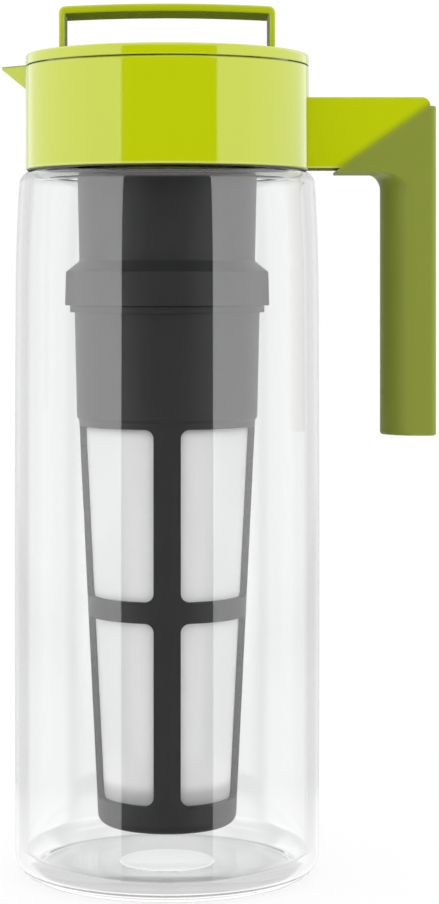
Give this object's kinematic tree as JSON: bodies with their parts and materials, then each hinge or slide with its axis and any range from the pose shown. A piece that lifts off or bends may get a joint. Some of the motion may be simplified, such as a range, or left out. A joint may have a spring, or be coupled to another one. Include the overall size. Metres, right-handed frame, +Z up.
{
  "type": "iced tea maker",
  "caption": "Tall clear jug with a screw-on collar with beak and side handle, a strap-handled lid, and a mesh infuser hanging from the lid.",
  "frame": {"origin": "centre of the jug's flat foot, on the jug's axis", "axes": "+Z up along the jug's axis; the beak points along -X and the handle along +X; the strap runs along X"},
  "size_m": [0.1492, 0.1048, 0.2976],
  "materials": {
    "clear_plastic": "clear, polished",
    "lime_plastic": "gloss moulded",
    "grip_silicone": "matte soft-touch",
    "grey_plastic": "satin moulded",
    "seal_rubber": "matte",
    "nylon_mesh": "fine woven mesh"
  },
  "bodies": {
    "jug": {"jug": "clear_plastic"},
    "neck_seal": {"neck_gasket": "seal_rubber"},
    "collar": {"collar_shell": "lime_plastic", "collar_liner": "lime_plastic", "grip_sleeve": "grip_silicone"},
    "lid_ring": {"lid_seal": "seal_rubber"},
    "lid": {"lid_cap": "lime_plastic", "lid_handle": "lime_plastic", "lid_plug": "lime_plastic"},
    "tube_ring": {"infuser_seal": "seal_rubber"},
    "infuser": {"infuser_tube": "grey_plastic"},
    "basket_ring": {"basket_seal": "seal_rubber"},
    "basket": {"basket_frame": "grey_plastic", "side_mesh": "nylon_mesh", "base_mesh": "nylon_mesh"}
  },
  "joints": [
    {"name": "collar_rise", "type": "slide", "parent": "jug", "child": "neck_seal", "axis": [0, 0, 1], "range_m": [0, 0.00625]},
    {"name": "collar_unscrew", "type": "hinge", "parent": "neck_seal", "child": "collar", "pos_m": [0, 0, 0.25], "axis": [0, 0, 1], "range_deg": [0, 450]},
    {"name": "lid_lift", "type": "slide", "parent": "collar", "child": "lid_ring", "axis": [0, 0, 1], "range_m": [0, 0.263]},
    {"name": "lid_turn", "type": "hinge", "parent": "lid_ring", "child": "lid", "pos_m": [0, 0, 0.27], "axis": [0, 0, 1], "range_deg": [0, 90]},
    {"name": "infuser_drop", "type": "slide", "parent": "lid", "child": "tube_ring", "axis": [0, 0, -1], "range_m": [0, 0.004]},
    {"name": "infuser_unscrew", "type": "hinge", "parent": "tube_ring", "child": "infuser", "pos_m": [0, 0, 0.25], "axis": [0, 0, -1], "range_deg": [0, 360]},
    {"name": "basket_drop", "type": "slide", "parent": "infuser", "child": "basket_ring", "axis": [0, 0, -1], "range_m": [0, 0.004]},
    {"name": "basket_unscrew", "type": "hinge", "parent": "basket_ring", "child": "basket", "pos_m": [0, 0, 0.2], "axis": [0, 0, -1], "range_deg": [0, 360]}
  ],
  "couplings": [
    {"joint": "collar_rise", "follows": "collar_unscrew", "m_per_rad": 0.00079577},
    {"joint": "infuser_drop", "follows": "infuser_unscrew", "m_per_rad": 0.00063662},
    {"joint": "basket_drop", "follows": "basket_unscrew", "m_per_rad": 0.00063662}
  ]
}
